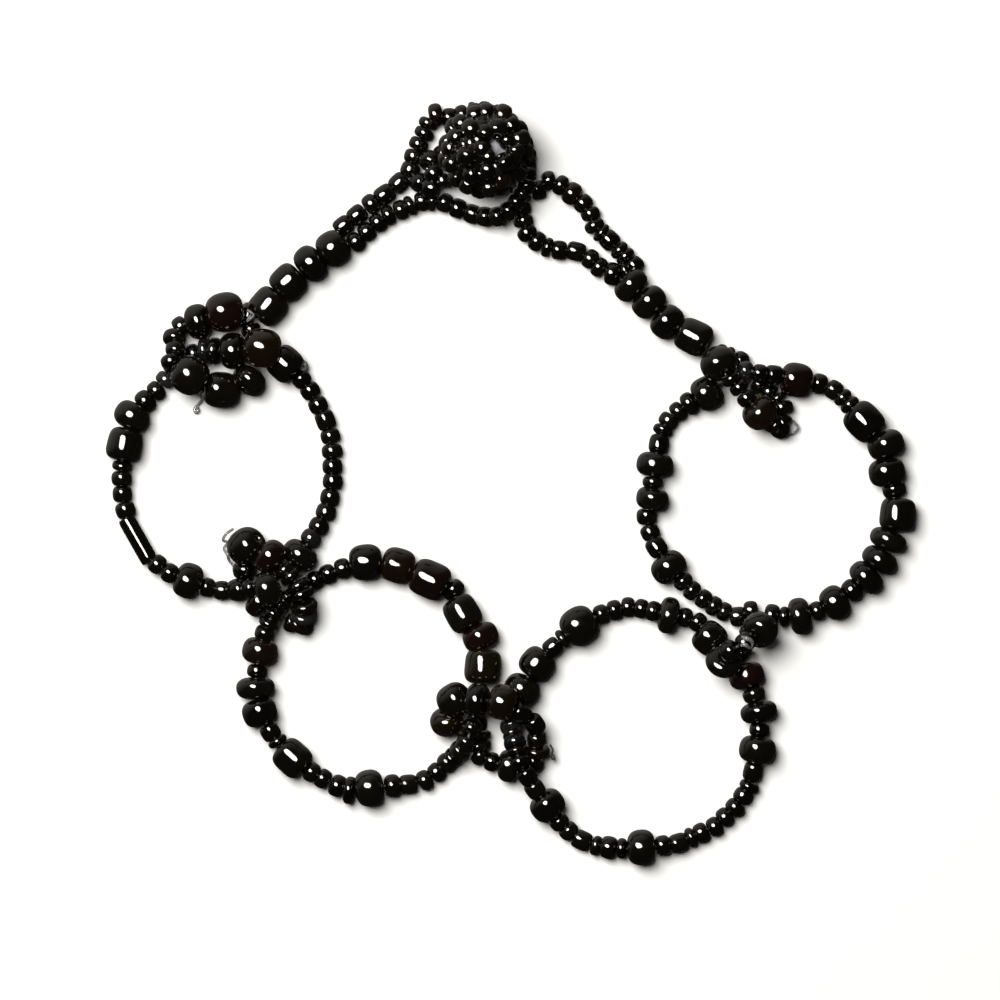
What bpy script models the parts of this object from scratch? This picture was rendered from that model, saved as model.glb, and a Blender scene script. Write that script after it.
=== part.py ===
# A beaded bracelet of mixed dark glass beads, lying fastened on a surface.
# Four loose hoops of beads are joined in a chain by small link rings of beads. At the left end a
# short stem and two strands lead to a toggle loop, and at the right end a stem and two strands
# lead to a woven button, a ball of seed beads netted round a pale core, which the loop holds.
# Every string of beads is one solid: a tube of seed bead size that swells at each larger bead.

import math
from collections import namedtuple

import bpy
import bmesh
from mathutils import Vector

MM = 0.001

# Beads: width across the thread, and length along it.
SEED_DIA = 2.15 * MM
SEED_LENGTH = 1.55 * MM
THIN_DIA = 2.3 * MM
THIN_LENGTH = 1.0 * MM
LONG_SEED_DIA = 2.1 * MM
LONG_SEED_LENGTH = 1.95 * MM
BUGLE_DIA = 1.9 * MM
BUGLE_LENGTH = 5.3 * MM
MEDIUM_DIA = 2.55 * MM
MEDIUM_LENGTH = 1.7 * MM
WIDE_DISC_DIA = 3.0 * MM
WIDE_DISC_LENGTH = 1.2 * MM
LARGE_DIA = 3.95 * MM
LARGE_LENGTH = 2.9 * MM
LARGE_DISC_DIA = 4.05 * MM
LARGE_DISC_LENGTH = 2.4 * MM
BARREL_DIA = 3.9 * MM
BARREL_LENGTH = 3.7 * MM
SQUARED_DIA = 3.8 * MM
SQUARED_LENGTH = 3.3 * MM
ROUND_DIA = 3.6 * MM
ROUND_LENGTH = 2.6 * MM
THREAD_DIA = 0.5 * MM
THREAD_LENGTH = 0.8 * MM

# The woven button and what holds it clear of the strings.
BUTTON_DIA = 10.6 * MM
BUTTON_WALL = 2.0 * MM
BUTTON_WINDOW_DIA = 1.9 * MM
BUTTON_ROWS = 6
BUTTON_SIDES = 18
CLEARANCE = 0.3 * MM

# A meshed bead has ten sides, two for each step of bevel resolution and two more.
BEVEL_RESOLUTION = 3
BEAD_SIDES = 2 * (BEVEL_RESOLUTION + 2)
FACET_DROP = math.cos(math.pi / BEAD_SIDES)
ROUTE_STEPS = 16

Bead = namedtuple("Bead", "diameter length")
BEADS = {
    "s": Bead(SEED_DIA, SEED_LENGTH),
    "n": Bead(THIN_DIA, THIN_LENGTH),
    "l": Bead(LONG_SEED_DIA, LONG_SEED_LENGTH),
    "b": Bead(BUGLE_DIA, BUGLE_LENGTH),
    "m": Bead(MEDIUM_DIA, MEDIUM_LENGTH),
    "w": Bead(WIDE_DISC_DIA, WIDE_DISC_LENGTH),
    "R": Bead(LARGE_DIA, LARGE_LENGTH),
    "D": Bead(LARGE_DISC_DIA, LARGE_DISC_LENGTH),
    "B": Bead(BARREL_DIA, BARREL_LENGTH),
    "Q": Bead(SQUARED_DIA, SQUARED_LENGTH),
    "r": Bead(ROUND_DIA, ROUND_LENGTH),
    "t": Bead(THREAD_DIA, THREAD_LENGTH),
}
ROUND_KINDS = "RDr"
BARREL_KINDS = "BQ"
MEDIUM_KINDS = "mw"
SHAPED_KINDS = ROUND_KINDS + BARREL_KINDS + MEDIUM_KINDS
THREAD_KIND = "t"

# How a bead swells between its two ends: share of its length, share of its radius.
ROUND_OUTLINE = [(0.16, 0.87), (0.5, 1.0), (0.84, 0.87)]
BARREL_OUTLINE = [(0.2, 1.0), (0.8, 1.0)]
MEDIUM_OUTLINE = [(0.28, 1.0), (0.72, 1.0)]
SEED_OUTLINE = [(0.5, 1.0)]
BUGLE_OUTLINE = [(0.04, 1.0), (0.96, 1.0)]
THREAD_OUTLINE = [(0.15, 1.0), (0.85, 1.0)]
JOINT_SHARE = 0.9
# Rings of plain tube are at least this far apart.
TUBE_STEP = 2.2 * MM

# The routes of the strings. A row is a bead that the string is pinned at: the place of its middle
# (x, y, in mm), how high its middle is, as a share of LARGE_DIA (0 for a bead that rests on the
# surface), and the beads threaded from it up to the next row's, itself first, by their letters.
Row = namedtuple("Row", "x y rise beads")
ROUTES = {
    "hoop_1": [
        Row(-35.0, 14.6, 0, "snn"),
        Row(-30.7, 14.6, 0.7, "D"),
        Row(-27.6, 15.0, 1.0, "Q"),
        Row(-24.6, 13.6, 0.62, "B"),
        Row(-22.9, 11.7, 0.35, "sss"),
        Row(-20.4, 7.1, 0, "lss"),
        Row(-19.7, 2.1, 0, "sss"),
        Row(-20.4, -2.9, 0, "sss"),
        Row(-22.8, -7.5, 0, "Rt"),
        Row(-24.5, -9.1, 0.15, "ttttt"),
        Row(-26.8, -11.5, 1.24, "Rt"),
        Row(-28.9, -11.5, 0.78, "sm"),
        Row(-31.9, -11.4, 0, "ss"),
        Row(-35.3, -10.5, 0, "Rs"),
        Row(-38.7, -8.6, 0, "s"),
        Row(-40.9, -6.3, 0, "b"),
        Row(-42.4, -2.7, 0, "ss"),
        Row(-42.9, 0.7, 0, "sn"),
        Row(-42.2, 4.5, 0, "B"),
        Row(-41.8, 7.5, 0, "Rm"),
        Row(-39.1, 10.5, 0, "ssss"),
    ],
    "hoop_2": [
        Row(-21.6, -10.3, 0, "sss"),
        Row(-16.0, -8.4, 0, "Q"),
        Row(-12.3, -8.9, 0, "Q"),
        Row(-8.8, -10.4, 0, "Bm"),
        Row(-5.3, -14.1, 0, "Q"),
        Row(-3.3, -16.7, 0, "R"),
        Row(-3.0, -20.0, 0, "Qtt"),
        Row(-3.6, -23.7, 0.12, "tttt"),
        Row(-4.4, -26.8, 0.68, "s"),
        Row(-4.9, -28.2, 0.8, "ssn"),
        Row(-7.1, -30.6, 0.3, "ss"),
        Row(-9.5, -32.3, 0, "slm"),
        Row(-15.4, -33.6, 0, "R"),
        Row(-17.7, -33.5, 0, "wmss"),
        Row(-24.2, -30.0, 0, "Bnl"),
        Row(-27.6, -25.1, 0, "R"),
        Row(-28.1, -22.3, 0, "Ds"),
        Row(-27.6, -18.4, 0, "Rsn"),
        Row(-26.1, -14.2, 0.82, "nnn"),
        Row(-24.7, -12.6, 0.33, "st"),
        Row(-23.2, -11.5, 0.12, "tt"),
    ],
    "hoop_3": [
        Row(1.5, -22.4, 0, "R"),
        Row(2.9, -19.6, 0, "Qmn"),
        Row(7.6, -15.6, 0, "Bss"),
        Row(12.9, -13.9, 0, "sss"),
        Row(17.3, -14.5, 0, "Dss"),
        Row(22.0, -16.8, 0, "Rtt"),
        Row(24.2, -19.0, 0.32, "tt"),
        Row(26.1, -21.1, 0, "Rm"),
        Row(27.2, -25.0, 0, "Ds"),
        Row(27.2, -29.0, 0, "Rln"),
        Row(25.5, -34.4, 0, "ssss"),
        Row(21.0, -38.4, 0, "snls"),
        Row(14.3, -40.25, 0, "Rnmn"),
        Row(7.8, -39.0, 0, "lss"),
        Row(4.0, -35.4, 0.6, "Rll"),
        Row(0.9, -30.3, 1.18, "st"),
        Row(0.5, -28.4, 0.98, "mt"),
        Row(0.1, -26.6, 0.6, "mtt"),
        Row(0.4, -24.6, 0.14, "tt"),
    ],
    "hoop_4": [
        Row(27.2, 12.4, 0.82, "sl"),
        Row(31.4, 11.7, 0, "Qs"),
        Row(35.3, 10.5, 0, "snn"),
        Row(38.8, 7.1, 0, "B"),
        Row(41.1, 4.6, 0, "R"),
        Row(41.5, 1.4, 0, "Rm"),
        Row(42.5, -3.4, 0, "Q"),
        Row(41.9, -6.1, 0, "D"),
        Row(40.8, -8.3, 0, "D"),
        Row(39.3, -10.4, 0, "Dm"),
        Row(35.6, -13.4, 0, "Rs"),
        Row(31.8, -14.6, 0, "Dn"),
        Row(28.9, -14.3, 0.36, "m"),
        Row(27.5, -14.1, 0.36, "t"),
        Row(26.1, -13.7, 0.36, "sln"),
        Row(22.3, -13.1, 0, "ssss"),
        Row(17.5, -9.0, 0, "Rls"),
        Row(15.1, -3.6, 0, "s"),
        Row(15.5, -1.6, 0, "Ds"),
        Row(15.8, 2.0, 0, "Rln"),
        Row(17.4, 7.0, 0, "ssm"),
        Row(21.8, 9.8, 0, "Rt"),
        Row(23.8, 11.4, 0.35, "ttt"),
        Row(25.7, 12.5, 0.74, "s"),
    ],
    "link_left": [
        Row(-29.7, 18.7, 0, "w"),
        Row(-32.0, 19.0, 0, "Q"),
        Row(-34.5, 18.1, 0, "R"),
        Row(-36.4, 17.4, 0.45, "s"),
        Row(-37.1, 16.2, 0.55, "ms"),
        Row(-37.3, 13.4, 0.9, "s"),
        Row(-35.1, 11.8, 1.0, "B"),
        Row(-31.8, 10.4, 0.6, "B"),
        Row(-28.9, 11.0, 0, "Rttt"),
        Row(-28.1, 14.8, 0.1, "tt"),
        Row(-28.6, 17.1, 0, "s"),
        Row(-28.4, 18.0, 0.35, "t"),
    ],
    "link_1": [
        Row(-29.6, -9.2, 0.33, "m"),
        Row(-29.5, -6.8, 0.62, "R"),
        Row(-26.9, -7.7, 0.9, "R"),
        Row(-24.9, -9.3, 0.88, "sn"),
        Row(-23.5, -11.1, 0.9, "ww"),
        Row(-22.5, -13.5, 0.84, "ww"),
        Row(-22.9, -15.7, 0, "w"),
        Row(-24.1, -15.1, 0, "st"),
        Row(-25.7, -14.2, 0.1, "ttt"),
        Row(-27.9, -12.9, 0, "mt"),
        Row(-28.8, -11.6, 0.1, "ttt"),
    ],
    "link_2": [
        Row(-7.5, -26.0, 0.5, "r"),
        Row(-6.4, -23.3, 0.82, "R"),
        Row(-3.7, -23.8, 1.06, "D"),
        Row(-1.0, -24.0, 1.28, "R"),
        Row(1.1, -25.0, 1.15, "l"),
        Row(2.6, -26.2, 0.95, "l"),
        Row(3.0, -27.9, 0.68, "sw"),
        Row(2.5, -30.7, 0.33, "mn"),
        Row(-0.3, -31.0, 0, "rs"),
        Row(-3.3, -29.9, 0, "s"),
        Row(-2.8, -28.4, 0, "mtt"),
        Row(-5.1, -27.8, 0.1, "ttt"),
    ],
    "link_3": [
        Row(23.2, -19.9, 1.22, "R"),
        Row(24.3, -18.1, 1.42, "m"),
        Row(25.9, -17.1, 1.47, "s"),
        Row(27.5, -15.8, 1.22, "Rtt"),
        Row(27.5, -13.2, 0.52, "ttt"),
        Row(27.5, -14.2, 0.09, "ttt"),
        Row(26.2, -16.2, 0.27, "stt"),
        Row(24.6, -18.6, 0.09, "tttt"),
        Row(22.9, -20.6, 0.45, "ttt"),
    ],
    "link_right": [
        Row(22.8, 13.2, 1.05, "Rs"),
        Row(24.9, 10.6, 0.95, "ss"),
        Row(27.2, 8.0, 0.92, "Rn"),
        Row(29.4, 6.4, 0, "wn"),
        Row(29.8, 8.4, 0, "mn"),
        Row(28.4, 10.2, 0, "s"),
        Row(27.2, 11.0, 0, "st"),
        Row(26.4, 12.4, 0.1, "tt"),
        Row(25.6, 14.0, 0, "sn"),
        Row(24.1, 15.1, 0.35, "nnn"),
    ],
    "stem_left": [
        Row(-26.3, 19.7, 0, "R"),
        Row(-24.3, 22.2, 0, "Q"),
        Row(-22.1, 24.1, 0, "R"),
        Row(-19.6, 25.8, 0, "R"),
    ],
    "stem_right": [
        Row(13.3, 21.7, 0, "D"),
        Row(15.1, 20.2, 0, "R"),
        Row(17.3, 17.9, 0, "R"),
        Row(20.2, 16.3, 0, "B"),
    ],
    "toggle_loop": [
        Row(-18.1, 28.9, 0, "ll"),
        Row(-15.5, 31.1, 0, "sl"),
        Row(-12.2, 33.3, 0, "ls"),
        Row(-10.8, 36.1, 0, "ss"),
        Row(-9.6, 38.8, 0, "sn"),
        Row(-8.4, 40.6, 0, "s"),
        Row(-6.7, 40.7, 0, "ssn"),
        Row(-3.0, 41.1, 0, "ss"),
        Row(0.2, 40.2, 0, "ss"),
        Row(2.0, 37.5, 0.3, "sn"),
        Row(2.3, 35.1, 0.58, "ss"),
        Row(2.1, 32.7, 0.95, "sn"),
        Row(0.6, 31.0, 0.96, "ss"),
        Row(-1.4, 29.4, 0.7, "ss"),
        Row(-4.3, 29.8, 0, "ss"),
        Row(-7.4, 31.0, 0, "sn"),
        Row(-9.8, 31.3, 0, "sn"),
        Row(-12.1, 30.1, 0, "ss"),
        Row(-14.5, 28.7, 0, "ss"),
        Row(-16.7, 26.9, 0, "s"),
    ],
    "toggle_inner": [
        Row(-8.5, 32.8, 0.74, "s"),
        Row(-8.3, 34.3, 0.5, "s"),
        Row(-8.4, 35.8, 0.32, "s"),
        Row(-7.6, 36.9, 0, "s"),
    ],
    "button_strands": [
        Row(13.2, 24.6, 0, "snn"),
        Row(10.7, 26.9, 0, "ls"),
        Row(8.6, 29.6, 0, "ss"),
        Row(6.5, 32.0, 0, "ms"),
        Row(4.0, 33.2, 0, "s"),
        Row(2.9, 32.3, 0, "sttt"),
        Row(0.2, 33.7, 0.62, "t"),
        Row(-0.1, 32.7, 0.55, "ttt"),
        Row(1.1, 30.3, 0, "ss"),
        Row(1.8, 27.7, 0, "ssn"),
        Row(5.2, 25.9, 0, "s"),
        Row(7.3, 25.8, 0, "lss"),
        Row(10.9, 23.2, 0, "s"),
    ],
}
OPEN_STRINGS = ("stem_left", "stem_right", "toggle_loop", "toggle_inner", "button_strands")
STEEP_STRINGS = ("link_left", "link_1", "link_2", "link_3", "link_right")

# The button's middle, over the toggle loop that it is held in.
BUTTON_X = -2.5 * MM
BUTTON_Y = 36.7 * MM
BUTTON_LIFT = 1.5 * MM
# The button's poles, where its netting starts and ends, and the gap in the netting on its top.
BUTTON_AXIS = Vector((0.62, -0.62, -0.48)).normalized()
WINDOW_AXIS = Vector((0.22, 0.06, 0.97)).normalized()

# Colour of each string's glass.
GLASS = {
    "hoop_1": (0.020, 0.017, 0.013),
    "hoop_2": (0.026, 0.019, 0.012),
    "hoop_3": (0.017, 0.016, 0.014),
    "hoop_4": (0.022, 0.017, 0.014),
    "link_left": (0.026, 0.015, 0.014),
    "link_1": (0.022, 0.018, 0.016),
    "link_2": (0.024, 0.017, 0.011),
    "link_3": (0.018, 0.018, 0.014),
    "link_right": (0.028, 0.019, 0.012),
    "stem_left": (0.015, 0.016, 0.013),
    "stem_right": (0.018, 0.016, 0.014),
    "toggle_loop": (0.017, 0.016, 0.015),
    "toggle_inner": (0.016, 0.017, 0.016),
    "button_strands": (0.018, 0.015, 0.013),
    "button_net": (0.016, 0.016, 0.014),
    "button_core": (0.38, 0.37, 0.42),
}
GLASS_ROUGHNESS = 0.12
CORE_ROUGHNESS = 0.5


def material_for(name, roughness=GLASS_ROUGHNESS):
    material = bpy.data.materials.new(name + "_finish")
    material.use_nodes = True
    shader = material.node_tree.nodes["Principled BSDF"]
    shader.inputs["Base Color"].default_value = (*GLASS[name], 1.0)
    shader.inputs["Roughness"].default_value = roughness
    shader.inputs["Metallic"].default_value = 0.0
    return material


def clear_scene():
    for thing in list(bpy.data.objects):
        bpy.data.objects.remove(thing, do_unlink=True)


def new_collection(name):
    collection = bpy.data.collections.new(name)
    bpy.context.scene.collection.children.link(collection)
    return collection


def move_to(thing, collection):
    for holder in list(thing.users_collection):
        holder.objects.unlink(thing)
    collection.objects.link(thing)


def bead_radius(kind):
    return BEADS[kind].diameter / 2


def row_point(row, seat_share):
    # A bead is never lower than where it rests on the surface.
    height = max(row.rise * LARGE_DIA, bead_radius(row.beads[0]) * seat_share)
    return Vector((row.x * MM, row.y * MM, height))


def curve_between(p0, p1, p2, p3, share):
    # Centripetal Catmull-Rom from p1 to p2.
    t1 = (p1 - p0).length ** 0.5
    t2 = t1 + (p2 - p1).length ** 0.5
    t3 = t2 + (p3 - p2).length ** 0.5
    t = t1 + (t2 - t1) * share
    a1 = p0.lerp(p1, t / t1)
    a2 = p1.lerp(p2, (t - t1) / (t2 - t1))
    a3 = p2.lerp(p3, (t - t2) / (t3 - t2))
    b1 = a1.lerp(a2, t / t2)
    b2 = a2.lerp(a3, (t - t1) / (t3 - t1))
    return b1.lerp(b2, (t - t1) / (t2 - t1))


class Route:
    # The smooth line of a string through its rows, measured along its length.

    def __init__(self, rows, closed, seat_share):
        knots = [row_point(row, seat_share) for row in rows]
        count = len(knots)
        spans = count if closed else count - 1
        self.closed = closed
        self.points = [knots[0]]
        self.lengths = [0.0]
        self.marks = [0.0]
        for i in range(spans):
            p1 = knots[i]
            p2 = knots[(i + 1) % count]
            p0 = knots[i - 1] if closed or i > 0 else p1 * 2 - p2
            p3 = knots[(i + 2) % count] if closed or i + 2 < count else p2 * 2 - p1
            for step in range(1, ROUTE_STEPS + 1):
                point = curve_between(p0, p1, p2, p3, step / ROUTE_STEPS)
                self.lengths.append(self.lengths[-1] + (point - self.points[-1]).length)
                self.points.append(point)
            self.marks.append(self.lengths[-1])

    def at(self, distance):
        total = self.lengths[-1]
        if self.closed:
            distance %= total
        elif distance <= 0.0:
            ahead = (self.points[1] - self.points[0]).normalized()
            return self.points[0] + ahead * distance
        elif distance >= total:
            ahead = (self.points[-1] - self.points[-2]).normalized()
            return self.points[-1] + ahead * (distance - total)
        low, high = 0, len(self.lengths) - 1
        while high - low > 1:
            middle = (low + high) // 2
            if self.lengths[middle] <= distance:
                low = middle
            else:
                high = middle
        share = (distance - self.lengths[low]) / (self.lengths[high] - self.lengths[low])
        return self.points[low].lerp(self.points[high], share)


def thread_beads(rows, route):
    # Each bead of a string with where it starts and ends along the route. The beads between two
    # rows are drawn out or squeezed a little to fill the way from one to the other.
    beads = []
    closed = route.closed
    spans = len(route.marks) - 1
    scales = []
    for i in range(spans):
        after = rows[(i + 1) % len(rows)].beads[0]
        kinds = rows[i].beads
        natural = sum(BEADS[kind].length for kind in kinds) - BEADS[kinds[0]].length / 2
        natural += BEADS[after].length / 2
        scales.append((route.marks[i + 1] - route.marks[i]) / natural)
    for i, row in enumerate(rows):
        scale_after = scales[i] if i < spans else scales[-1]
        scale_before = scales[i - 1] if closed or i > 0 else scales[0]
        half = BEADS[row.beads[0]].length / 2
        place = route.marks[i] + half * scale_after
        beads.append((row.beads[0], route.marks[i] - half * scale_before, place))
        for kind in row.beads[1:]:
            end = place + BEADS[kind].length * scale_after
            beads.append((kind, place, end))
            place = end
    return beads


def outline_of(kind):
    if kind in ROUND_KINDS:
        return ROUND_OUTLINE
    if kind in BARREL_KINDS:
        return BARREL_OUTLINE
    if kind in MEDIUM_KINDS:
        return MEDIUM_OUTLINE
    if kind == THREAD_KIND:
        return THREAD_OUTLINE
    if kind == "b":
        return BUGLE_OUTLINE
    return SEED_OUTLINE


def follows_closely(sections, distance):
    return bool(sections) and distance - sections[-1][0] < TUBE_STEP


def string_sections(beads, closed):
    # Distance along the route and radius of each ring of the string's tube.
    sections = []
    for i, (kind, start, end) in enumerate(beads):
        before = beads[i - 1][0] if closed or i > 0 else kind
        shaped = kind in SHAPED_KINDS or before in SHAPED_KINDS
        stepped = (kind == THREAD_KIND) != (before == THREAD_KIND)
        if not closed and i == 0:
            sections.append((start, SEED_DIA / 2 * JOINT_SHARE))
        elif stepped:
            inwards = THREAD_DIA / 4 if before == THREAD_KIND else -THREAD_DIA / 4
            sections.append((start + inwards, SEED_DIA / 2 * JOINT_SHARE))
        elif shaped and kind != THREAD_KIND:
            sections.append((start, SEED_DIA / 2 * JOINT_SHARE))
        if outline_of(kind) is SEED_OUTLINE and follows_closely(sections, (start + end) / 2):
            continue
        for share, width in outline_of(kind):
            sections.append((start + (end - start) * share, bead_radius(kind) * width))
    if not closed:
        sections.append((beads[-1][2], SEED_DIA / 2 * JOINT_SHARE))
    return sections


def make_string(name, collection):
    rows = ROUTES[name]
    closed = name not in OPEN_STRINGS
    steep = name in STEEP_STRINGS
    seat_share = 1.0 if steep else FACET_DROP
    route = Route(rows, closed, seat_share)
    beads = thread_beads(rows, route)
    sections = string_sections(beads, closed)
    curve = bpy.data.curves.new(name, "CURVE")
    curve.dimensions = "3D"
    curve.twist_mode = "MINIMUM" if steep else "Z_UP"
    curve.bevel_depth = 1.0
    curve.bevel_resolution = BEVEL_RESOLUTION
    curve.use_fill_caps = not closed
    spline = curve.splines.new("POLY")
    spline.points.add(len(sections) - 1)
    spline.use_cyclic_u = closed
    spline.use_smooth = True
    for point, (distance, radius) in zip(spline.points, sections):
        place = route.at(distance)
        place.z = max(place.z, radius * seat_share)
        point.co = (*place, 1.0)
        point.radius = radius
    string = bpy.data.objects.new(name, curve)
    string.data.materials.append(material_for(name))
    collection.objects.link(string)
    return string


def button_middle():
    return Vector((BUTTON_X, BUTTON_Y, BUTTON_LIFT + BUTTON_DIA / 2))


def turn_to(thing, axis):
    thing.rotation_mode = "QUATERNION"
    thing.rotation_quaternion = Vector((0, 0, 1)).rotation_difference(axis)


def make_net_shell(collection):
    # A turned ball with a shallow valley between its rows of beads.
    valley = SEED_DIA * 0.2
    steps = BUTTON_ROWS * 4
    profile = bmesh.new()
    corners = []
    for step in range(steps + 1):
        angle = math.pi * step / steps
        bulge = abs(math.sin(BUTTON_ROWS * angle))
        radius = BUTTON_DIA / 2 - valley * (1 - bulge)
        across = 0.0 if step in (0, steps) else radius * math.sin(angle)
        corners.append(profile.verts.new((across, 0.0, radius * math.cos(angle))))
    for upper, lower in zip(corners, corners[1:]):
        profile.edges.new((upper, lower))
    mesh = bpy.data.meshes.new("button_net")
    profile.to_mesh(mesh)
    profile.free()
    net = bpy.data.objects.new("button_net", mesh)
    collection.objects.link(net)
    turned = net.modifiers.new("turned", "SCREW")
    turned.steps = BUTTON_SIDES
    turned.render_steps = BUTTON_SIDES
    turned.use_merge_vertices = True
    turned.merge_threshold = 0.00001
    net.location = button_middle()
    turn_to(net, BUTTON_AXIS)
    return net


def hide_as_cutter(thing):
    thing.hide_render = True
    thing.display_type = "WIRE"


def cut_from(thing, cutter, name):
    cut = thing.modifiers.new(name, "BOOLEAN")
    cut.operation = "DIFFERENCE"
    cut.solver = "EXACT"
    cut.object = cutter


def make_button(collection, cutters):
    net = make_net_shell(collection)
    inner_radius = BUTTON_DIA / 2 - BUTTON_WALL
    bpy.ops.mesh.primitive_uv_sphere_add(
        segments=BUTTON_SIDES, ring_count=BUTTON_SIDES // 2, radius=inner_radius,
        location=button_middle())
    hollow = bpy.context.object
    hollow.name = "button_hollow"
    turn_to(hollow, BUTTON_AXIS)
    bpy.ops.mesh.primitive_cylinder_add(
        vertices=12, radius=BUTTON_WINDOW_DIA / 2, depth=BUTTON_DIA,
        location=button_middle() + WINDOW_AXIS * BUTTON_DIA / 2)
    window = bpy.context.object
    window.name = "button_window"
    turn_to(window, WINDOW_AXIS)
    for cutter, label in ((hollow, "hollow"), (window, "window")):
        move_to(cutter, cutters)
        hide_as_cutter(cutter)
        cut_from(net, cutter, label)
    net.data.materials.append(material_for("button_net"))

    bpy.ops.mesh.primitive_uv_sphere_add(
        segments=BUTTON_SIDES, ring_count=BUTTON_SIDES // 2, radius=inner_radius - CLEARANCE,
        location=button_middle())
    core = bpy.context.object
    core.name = "button_core"
    core.data.name = "button_core"
    core.data.shade_smooth()
    core.data.materials.append(material_for("button_core", CORE_ROUGHNESS))
    move_to(core, collection)
    return net, core


def build():
    clear_scene()
    bracelet = new_collection("beaded_bracelet")
    cutters = new_collection("cutters")
    for name in ROUTES:
        make_string(name, bracelet)
    make_button(bracelet, cutters)


build()
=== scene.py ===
import math
import random
from collections import namedtuple

import bpy
from mathutils import Matrix, Vector


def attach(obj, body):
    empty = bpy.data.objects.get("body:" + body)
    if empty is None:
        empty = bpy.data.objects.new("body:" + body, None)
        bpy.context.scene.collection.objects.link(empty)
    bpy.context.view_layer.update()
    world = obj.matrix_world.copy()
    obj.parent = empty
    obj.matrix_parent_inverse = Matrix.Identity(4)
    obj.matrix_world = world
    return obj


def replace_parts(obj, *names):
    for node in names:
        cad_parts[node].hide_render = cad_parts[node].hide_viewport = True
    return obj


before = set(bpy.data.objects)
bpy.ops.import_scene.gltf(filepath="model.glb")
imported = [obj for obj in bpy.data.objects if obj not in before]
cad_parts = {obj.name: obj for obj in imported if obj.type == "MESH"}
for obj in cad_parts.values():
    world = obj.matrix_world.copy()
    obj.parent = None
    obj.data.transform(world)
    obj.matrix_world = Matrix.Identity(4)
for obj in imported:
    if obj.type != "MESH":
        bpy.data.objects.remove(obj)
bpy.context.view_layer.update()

# A bracelet of mixed dark glass beads, fastened and laid on a pale surface. Each string of beads
# is a piece of its own, made bead by bead along the same line as its solid in the frame.

mm = 0.001
print("frame loaded,", len(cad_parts), "nodes")


class Value:
    # A socket that gives a value, so that masks can be written as sums and products.

    def __init__(self, shader, socket):
        self.shader = shader
        self.socket = socket

    def maths(self, operation, *values):
        return self.shader.node("ShaderNodeMath", {"operation": operation}, values)

    def __add__(self, other):
        return self.maths("ADD", self, other)

    def __radd__(self, other):
        return self.maths("ADD", other, self)

    def __sub__(self, other):
        return self.maths("SUBTRACT", self, other)

    def __rsub__(self, other):
        return self.maths("SUBTRACT", other, self)

    def __mul__(self, other):
        return self.maths("MULTIPLY", self, other)

    def __rmul__(self, other):
        return self.maths("MULTIPLY", other, self)

    def clamped(self):
        return self.shader.node("ShaderNodeClamp", {}, (self, 0.0, 1.0))

    def step(self, low, high, first=0.0, last=1.0):
        # first below low, last above high, smooth between.
        settings = {"interpolation_type": "SMOOTHSTEP"}
        return self.shader.node("ShaderNodeMapRange", settings, (self, low, high, first, last))

    def softened(self, share):
        # Takes away only this share where the value is 0.
        return self * share + (1 - share)


class Shader:
    # The nodes of a material or of the world, round the shader that they feed.

    def __init__(self, tree, main):
        self.tree = tree
        self.main = tree.nodes[main]

    def feed(self, socket, value):
        if isinstance(value, Value):
            self.tree.links.new(value.socket, socket)
        else:
            socket.default_value = value

    def node(self, kind, settings, inputs, output=0):
        made = self.tree.nodes.new(kind)
        for name, value in settings.items():
            setattr(made, name, value)
        given = inputs.items() if isinstance(inputs, dict) else enumerate(inputs)
        for name, value in given:
            self.feed(made.inputs[name], value)
        return Value(self, made.outputs[output])

    def dress(self, values):
        for name, value in values.items():
            self.feed(self.main.inputs[name], value)

    def mixColour(self, share, low, high):
        # In a Mix node 0 is the factor, 6 and 7 are the colours, and 2 is the colour it gives.
        inputs = {0: share}
        for number, colour in ((6, low), (7, high)):
            inputs[number] = colour if isinstance(colour, Value) else (*colour, 1.0)
        return self.node("ShaderNodeMix", {"data_type": "RGBA"}, inputs, 2)

    def noise(self, place, scale, detail=2.0, roughness=0.5):
        inputs = {"Vector": place, "Scale": scale, "Detail": detail, "Roughness": roughness}
        return self.node("ShaderNodeTexNoise", {}, inputs)

    def place(self, output="Object"):
        return self.node("ShaderNodeTexCoord", {}, (), output)

    def perBead(self):
        # A number from 0 to 1 that is the same all over one bead.
        return self.node("ShaderNodeNewGeometry", {}, (), "Random Per Island")

    def along(self, vector, direction):
        inputs = (vector, direction)
        return self.node("ShaderNodeVectorMath", {"operation": "DOT_PRODUCT"}, inputs, "Value")

    def facing(self, direction):
        normal = self.node("ShaderNodeNewGeometry", {}, (), "Normal")
        return self.along(normal, direction)

    def bump(self, height, strength, distance):
        inputs = {"Height": height, "Strength": strength, "Distance": distance}
        return self.node("ShaderNodeBump", {}, inputs)


def startMaterial(name):
    material = bpy.data.materials.new(name)
    material.use_nodes = True
    return material, Shader(material.node_tree, "Principled BSDF")


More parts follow.
